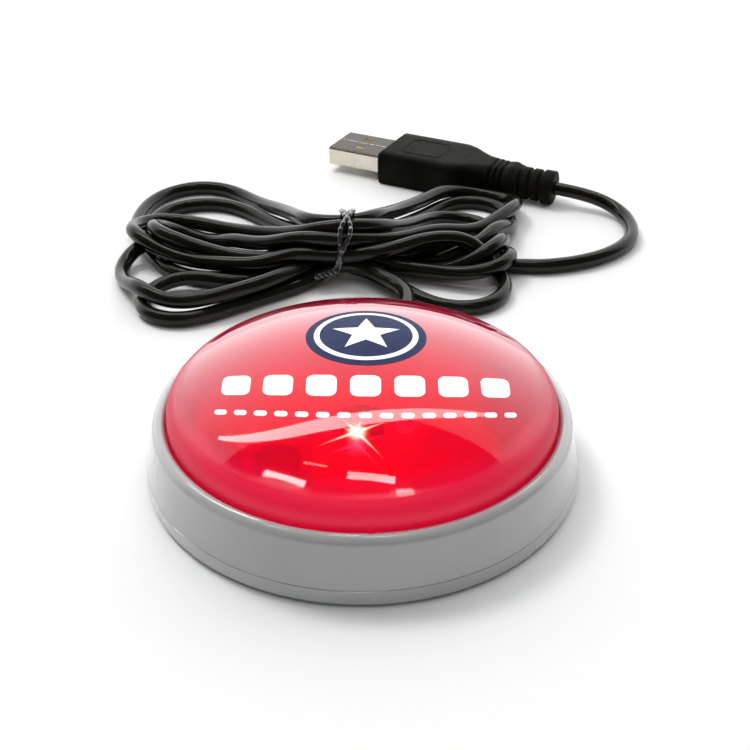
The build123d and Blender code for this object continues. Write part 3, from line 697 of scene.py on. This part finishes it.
for node_name, mat in {
    "bottom_cover": BASE_GREY, "housing_ring": BASE_GREY, "housing_screws": STEEL, "plate_screws": STEEL,
    "board_screws": STEEL, "rubber_feet": RUBBER, "push_dome": dome_material(),
    "switch_plunger": INNER_WHITE_PAINTED_GLOW, "reflector_plate": INNER_WHITE_PAINTED_GLOW, "circuit_board": BOARD,
    "switch_body": SWITCH_BLACK, "switch_button": SWITCH_CAP, "switch_terminals": TINNED,
    "led_leads": TINNED, "led_front": LED_LENS, "led_right": LED_LENS, "led_rear": LED_LENS,
    "led_left": LED_LENS, "controller_chip": CHIP, "crystal": CRYSTAL, "resistors": CHIP,
    "capacitors": CAPACITOR, "cable_gland": OVERMOULD, "cable_jacket_end": CORD_BLACK, "usb_shell": NICKEL,
    "usb_insulator": INSULATOR_PAINTED_GLOW, "usb_contacts": GOLD, **WIRES,
}.items():
    paint(NODES[node_name], mat)


# ---------------------------------------------------------------- return springs
for number, azimuth in enumerate(SPRING_AZIMUTHS, start=1):
    cx = SPRING_POST_RADIUS * math.cos(math.radians(azimuth))
    cy = SPRING_POST_RADIUS * math.sin(math.radians(azimuth))
    line = []
    for k in range(int(SPRING_TURNS * 32) + 1):
        t = k / (SPRING_TURNS * 32)
        # the first and last three quarters of a turn lie flat, as ground ends do
        climb = min(max((t * SPRING_TURNS - 0.75) / (SPRING_TURNS - 1.5), 0.0), 1.0)
        a = math.radians(azimuth) + 2 * math.pi * SPRING_TURNS * t
        z = SPRING_BOTTOM + SPRING_WIRE + (SPRING_TOP - SPRING_BOTTOM - 2 * SPRING_WIRE) * climb
        x, y = cx + SPRING_RADIUS * math.cos(a), cy + SPRING_RADIUS * math.sin(a)
        line.append((x * MM, y * MM, z * MM))
    spring = sweep(f"coil_spring_{number}", [(line, SPRING_WIRE * MM)], sides=8)
    dress(spring, SPRING, replaced=(f"return_spring_{number}",))
    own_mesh(spring)


# ---------------------------------------------------------------- twist tie
def tie_point(turn, x, radius):
    """A point round the bundle. turn is 0 at the bottom, 90 at the front, 180 on top and 270 behind."""
    a = math.radians(turn)
    return (x * MM, (TIE_CENTRE[1] - radius * math.sin(a)) * MM,
            (TIE_CENTRE[2] - radius * math.cos(a)) * MM)


TIE_START, TIE_SWEEP = 62, 372    # degrees round the bundle


def tie_strand(phase):
    points, radii = [], []
    for k in range(241):
        turn = TIE_START + TIE_SWEEP * k / 240
        top = math.sin(math.radians(min(max((turn - TIE_START) * 0.75, 0), 180)))
        x = -6.0 + 2.3 * top + (0.35 + 0.85 * top) * math.cos(math.radians((turn - TIE_START) * 2.6) + phase)
        low = max(0.0, math.cos(math.radians(turn)))
        wire = 0.50 - 0.20 * low
        swell = 0.07 * math.sin(turn * 0.55 + 2 * phase) * (1 - low)
        weave = 0.12 * math.sin(math.radians(turn * 2.6) + phase) * (1 - low)
        points.append(tie_point(turn, x, BUNDLE_RADIUS + 0.05 + wire + weave))
        radii.append((wire + swell) * MM)
    return points, radii


def tie_tail(phase):
    """The two ends, twisted round each other from a knot at the front towards the left."""
    knot, end = np.array((-6.1, 60.9, 3.9)), np.array((-10.4, 59.3, 3.3))
    along = (end - knot) / np.linalg.norm(end - knot)
    across = np.cross(along, (0.0, 0.0, 1.0))
    across /= np.linalg.norm(across)
    other = np.cross(along, across)
    points, radii = [], []
    for k in range(61):
        t = k / 60
        a = 2 * math.pi * 2.2 * t + phase
        off = 0.42 - 0.12 * t
        twist = off * (math.cos(a) * across + math.sin(a) * other)
        points.append(tuple((knot + (end - knot) * t + twist) * MM))
        radii.append((0.62 - 0.28 * min(t * 2.2, 1.0)) * MM)
    return points, radii


twist_tie = sweep("tie_wire", [tie_strand(0.0), tie_strand(math.pi), tie_tail(0.0), tie_tail(math.pi)],
                  sides=14)
dress(twist_tie, TIE_BLACK, replaced=("twist_tie",))


# ---------------------------------------------------------------- plug moulding
PLUG_TIP = (-6.8, 129.5)
PLUG_ANGLE = math.radians(-26.7)
PLUG_AXIS_Z = 4.0


def plug_place(s, y, z):
    """A point s mm behind the plug's tip, y mm across it and z mm above its axis, in metres."""
    ca, sa = math.cos(PLUG_ANGLE), math.sin(PLUG_ANGLE)
    return ((PLUG_TIP[0] + s * ca - y * sa) * MM, (PLUG_TIP[1] + s * sa + y * ca) * MM,
            (PLUG_AXIS_Z + z) * MM)


def section(width, height, corner):
    """A rounded rectangle as points (y, z), evenly turned about its centre."""
    corner = min(corner, width / 2 - 1e-3, height / 2 - 1e-3)
    points = []
    for k in range(MOULD_SIDES):
        a = 2 * math.pi * (k + 0.5) / MOULD_SIDES
        cy, cz = math.cos(a), math.sin(a)
        hy, hz = width / 2 - corner, height / 2 - corner
        # march out from the centre until the rounded edge is met
        low, high = 0.0, width + height
        for _ in range(40):
            mid = (low + high) / 2
            py, pz = abs(mid * cy), abs(mid * cz)
            inside = math.hypot(max(py - hy, 0.0), max(pz - hz, 0.0)) <= corner
            low, high = (mid, high) if inside else (low, mid)
        points.append((low * cy, low * cz))
    return points


def eased(t):
    t = min(max(t, 0.0), 1.0)
    return t * t * (3 - 2 * t)


MOULD_START, MOULD_END = 14.3, 57.5      # mm behind the plug's tip
MOULD_SIDES = 64
SHELL_WIDTH, SHELL_HEIGHT = 12.0, 4.5


def mould_size(s):
    """Width, height and corner radius of the moulding s mm behind the tip."""
    edge = eased((s - MOULD_START) / 0.7)
    if s < 42.0:
        taper = eased((s - 31.5) / 10.0)
        width = 16.3 - 6.2 * taper
        height = 8.0 - 0.5 * taper
        corner = 0.9 + 1.8 * taper
        return width - 1.4 * (1 - edge), height - 1.0 * (1 - edge), corner
    if s < 49.0:
        t = (s - 42.0) / 7.0
        bulge = 0.55 * math.exp(-((s - 47.0) / 1.1) ** 2)
        width, height, corner = 10.1 - 1.3 * t + bulge, 7.5 + bulge, 2.7 + 1.2 * t
        for groove in (42.3, 43.7, 45.1):
            depth = math.exp(-((s - groove) / 0.26) ** 4)
            width, height = width - 1.3 * depth, height - 0.9 * depth
        return width, height, corner
    ring = 6.0
    for centre, half, size in ((50.4, 0.85, 7.6), (53.0, 0.85, 7.6), (56.1, 1.25, 8.0)):
        ring = max(ring, 6.0 + (size - 6.0) * eased((half + 0.28 - abs(s - centre)) / 0.4))
    if s > MOULD_END - 0.3:
        ring -= 0.5
    return ring, ring, ring / 2


def plug_moulding():
    stations = [MOULD_START + 0.1 * k for k in range(8)]
    stations += [MOULD_START + 0.8 + 0.8 * k for k in range(21)]
    stations += [31.6 + 0.4 * k for k in range(26)]
    stations += [42.0 + 0.1 * k for k in range(155)]
    stations.append(MOULD_END)
    count = MOULD_SIDES
    rows = [section(SHELL_WIDTH + 0.02, SHELL_HEIGHT + 0.02, 0.5)]
    places = [MOULD_START]
    for s in stations:
        rows.append(section(*mould_size(s)))
        places.append(s)
    rows.append(section(CORD_DIAMETER, CORD_DIAMETER, CORD_DIAMETER / 2))
    places.append(MOULD_END)
    verts = [plug_place(s, y, z) for s, row in zip(places, rows) for y, z in row]
    faces = []
    for i in range(len(rows) - 1):
        for k in range(count):
            a, b = i * count + k, i * count + (k + 1) % count
            faces.append((a, b, b + count, a + count))
    faces.append(tuple(range(count)))
    faces.append(tuple((len(rows) - 1) * count + k for k in range(count)))
    return mesh_object("plug_moulding", verts, faces)


moulding = plug_moulding()
dress(moulding, OVERMOULD, replaced=("usb_overmould",))

# a plain raised panel outline on the moulding's top, and the shell's closing seam
PANEL_START, PANEL_END, PANEL_HALF, PANEL_CORNER = 19.0, 29.0, 4.4, 1.2
bead = []
for cs, cy, turn in ((PANEL_END, 1, 0), (PANEL_START, 1, 90), (PANEL_START, -1, 180), (PANEL_END, -1, 270)):
    inset = PANEL_CORNER if cs == PANEL_START else -PANEL_CORNER
    for k in range(7):
        a = math.radians(turn + 15 * k)
        bead.append(plug_place(cs + inset + PANEL_CORNER * math.cos(a),
                               cy * (PANEL_HALF - PANEL_CORNER) + PANEL_CORNER * math.sin(a), 3.98))
bead.append(bead[0])
relief = sweep("plug_relief", [(bead, 0.12 * MM)], sides=10)
RELIEF_BLACK = surface("relief_black", (0.002, 0.002, 0.002), (0.004, 0.004, 0.004), rough=(0.6, 0.7),
                       specular=0.1)
dress(relief, RELIEF_BLACK)

seam = sweep("shell_seam",
             [([plug_place(0.3 + 0.7 * t, 0.3, SHELL_HEIGHT / 2 - 0.03) for t in range(21)], 0.09 * MM)],
             sides=8)
SEAM_NICKEL = surface("seam_nickel", (0.75, 0.72, 0.66), (0.85, 0.82, 0.76), rough=(0.2, 0.35), metallic=1.0)
dress(seam, SEAM_NICKEL)


# ---------------------------------------------------------------- floor, lights, camera
def grid_plane(name, half, divisions):
    verts, faces = [], []
    for j in range(divisions + 1):
        for i in range(divisions + 1):
            verts.append((half * (2 * i / divisions - 1), half * (2 * j / divisions - 1), 0.0))
    for j in range(divisions):
        for i in range(divisions):
            a = j * (divisions + 1) + i
            faces.append((a, a + 1, a + divisions + 2, a + divisions + 1))
    return mesh_object(name, verts, faces, smooth=False)


floor = grid_plane("studio_floor", 4.0, 8)
paint(floor, surface("floor_white", (0.92, 0.92, 0.92), (0.95, 0.95, 0.95), patch=3.0, rough=(0.6, 0.8),
                     grain=200))


def studio_surround(radius=1.7, height=4.0, count=96):
    """A plain pale wall round the set, for views near the table's level. Only the camera sees it."""
    ring = [(radius * math.cos(2 * math.pi * k / count),
             radius * math.sin(2 * math.pi * k / count)) for k in range(count)]
    verts = [(x, y, z) for z in (0.0, height) for x, y in ring]
    wall = mesh_object("studio_surround", verts,
                       [(k, (k + 1) % count, count + (k + 1) % count, count + k) for k in range(count)])
    mat, tree, out = nodes_of("surround_pale")
    glow = add(tree, "ShaderNodeEmission")
    coords = add(tree, "ShaderNodeTexCoord").outputs["Object"]
    tree.links.new(map_range(tree, noise(tree, coords, 1.5), 0.3, 0.7, 0.93, 0.96), glow.inputs["Strength"])
    tree.links.new(glow.outputs["Emission"], out.inputs["Surface"])
    paint(wall, mat)
    wall.visible_diffuse = False
    wall.visible_glossy = False
    wall.visible_transmission = False
    wall.visible_shadow = False


studio_surround()


def area_light(name, location, target, size_x, size_y, power):
    data = bpy.data.lights.new(name, "AREA")
    data.shape = "RECTANGLE"
    data.size, data.size_y = size_x, size_y
    data.energy = power
    obj = link(bpy.data.objects.new(name, data))
    obj.location = location
    obj.rotation_euler = (Vector(target) - Vector(location)).to_track_quat("-Z", "Y").to_euler()
    obj.visible_camera = False
    return obj


def glow_card(name, outline, axis, low, high, strength_low, strength_high, diffuse=True):
    """A flat card of light. Its strength runs from strength_low to strength_high along one axis."""
    card = mesh_object(name, outline, [tuple(range(len(outline)))], smooth=False)
    mat, tree, out = nodes_of(name + "_light")
    split = add(tree, "ShaderNodeSeparateXYZ")
    tree.links.new(add(tree, "ShaderNodeTexCoord").outputs["Object"], split.inputs["Vector"])
    glow = add(tree, "ShaderNodeEmission")
    tree.links.new(map_range(tree, split.outputs[axis], low, high, strength_low, strength_high),
                   glow.inputs["Strength"])
    tree.links.new(glow.outputs["Emission"], out.inputs["Surface"])
    paint(card, mat)
    card.visible_camera = False
    card.visible_shadow = False
    card.visible_diffuse = diffuse


WALL_HALF_WIDTH, WALL_DISTANCE, WALL_HEIGHT = 2.3, 0.9, 1.95
WALL_WING_Y = -0.7


def backdrop_wall():
    """A tall curved wall of light behind the set. It is even at the back and fades out round both sides."""
    foot = [(-WALL_HALF_WIDTH, WALL_WING_Y), (-WALL_HALF_WIDTH, 0.0)]
    for degrees in range(-84, 85, 6):
        a = math.radians(degrees)
        foot.append((WALL_HALF_WIDTH * math.sin(a), WALL_DISTANCE * math.cos(a) ** 0.6))
    foot += [(WALL_HALF_WIDTH, 0.0), (WALL_HALF_WIDTH, WALL_WING_Y)]
    n = len(foot)
    verts = [(x, y, z) for z in (0.0, WALL_HEIGHT) for x, y in foot]
    wall = mesh_object("backdrop_card", verts, [(i, i + 1, n + i + 1, n + i) for i in range(n - 1)],
                       smooth=False)
    mat, tree, out = nodes_of("backdrop_light")
    split = add(tree, "ShaderNodeSeparateXYZ")
    tree.links.new(add(tree, "ShaderNodeTexCoord").outputs["Object"], split.inputs["Vector"])
    upward = map_range(tree, split.outputs["Z"], 0.0, WALL_HEIGHT, 1.75, 1.0)
    sideways = map_range(tree, split.outputs["Y"], 0.1, 0.85, 0.08, 1.0)
    strength = add(tree, "ShaderNodeMath", operation="MULTIPLY")
    tree.links.new(upward, strength.inputs[0])
    tree.links.new(sideways, strength.inputs[1])
    glow = add(tree, "ShaderNodeEmission")
    tree.links.new(strength.outputs[0], glow.inputs["Strength"])
    tree.links.new(glow.outputs["Emission"], out.inputs["Surface"])
    paint(wall, mat)
    wall.visible_camera = False
    wall.visible_shadow = False


def overhead(points, height=1.0):
    return [(x, y, height) for x, y in points]


backdrop_wall()
SWOOSH_LOW = (-0.32, 0.39)              # where the long curved card comes nearest the front
SWOOSH_LEFT_END, SWOOSH_RIGHT_END = -0.90, 0.78
SWOOSH_LEFT_CURL, SWOOSH_RIGHT_CURL = 0.74, 0.35
SWOOSH_HALF_WIDTH = 0.055


def swoosh_edge(side, count=24):
    """One long edge of the curved card: two parabolas that meet at its low point, narrowed at both ends."""
    edge = []
    for k in range(count + 1):
        t = k / count
        x = SWOOSH_LEFT_END + (SWOOSH_RIGHT_END - SWOOSH_LEFT_END) * t
        away = x - SWOOSH_LOW[0]
        curl = SWOOSH_LEFT_CURL if away < 0 else SWOOSH_RIGHT_CURL
        half = SWOOSH_HALF_WIDTH * (0.35 + 0.65 * math.sin(math.pi * t))
        edge.append((x, SWOOSH_LOW[1] + curl * away * away + side * half))
    return edge


def slanted_strip(centre, length, width, turn):
    """Corners of a narrow card lying at an angle, turn in degrees."""
    c, s = math.cos(math.radians(turn)), math.sin(math.radians(turn))
    corners = ((-length, -width), (length, -width), (length, width), (-length, width))
    return [(centre[0] + (u * c - v * s) / 2, centre[1] + (u * s + v * c) / 2) for u, v in corners]


swoosh = swoosh_edge(-1) + swoosh_edge(1)[::-1]
glow_card("swoosh_card", overhead(swoosh), "X", -0.6, 0.9, 13.0, 5.0, diffuse=False)
for glint_name, centre, length, width, turn, strength in (
    ("long", (-0.41, 0.08), 0.27, 0.025, -31, 13.0),
    ("wide", (0.04, 0.02), 0.24, 0.045, -6, 13.0),
    ("small", (0.21, -0.04), 0.09, 0.03, 12, 12.0),
    ("faint", (-0.24, 0.12), 0.13, 0.012, -22, 7.0),
):
    glint = overhead(slanted_strip(centre, length, width, turn))
    glow_card(f"glint_card_{glint_name}", glint, "X", -1, 1, strength, strength, diffuse=False)
for light in (
    area_light("key_softbox", (-0.5, 0.45, 1.0), (0.0, 0.03, 0.0), 0.35, 0.35, 5.0),
    area_light("overhead_softbox", (0.0, 0.0, 1.4), (0.0, 0.0, 0.0), 1.6, 1.6, 10.0),
    area_light("front_fill", (0.2, -1.1, 0.5), (0.0, 0.0, 0.0), 1.0, 0.8, 0.8),
):
    light.visible_glossy = False

world = bpy.data.worlds.new("studio_world")
world.use_nodes = True
world.node_tree.nodes["Background"].inputs["Color"].default_value = (1.0, 1.0, 1.0, 1.0)
world.node_tree.nodes["Background"].inputs["Strength"].default_value = 0.06
bpy.context.scene.world = world
bpy.context.scene.view_settings.view_transform = "Standard"
bpy.context.scene.cycles.transparent_max_bounces = 24

camera_data = bpy.data.cameras.new("camera")
camera_data.lens = 57.6
camera_data.sensor_width = 36.0
camera_data.clip_start = 0.005
camera = link(bpy.data.objects.new("camera", camera_data))
camera.location = (0.0020, -0.1605, 0.1177)
camera.rotation_euler = (math.radians(57.86), 0.0, 0.0)
bpy.context.scene.camera = camera
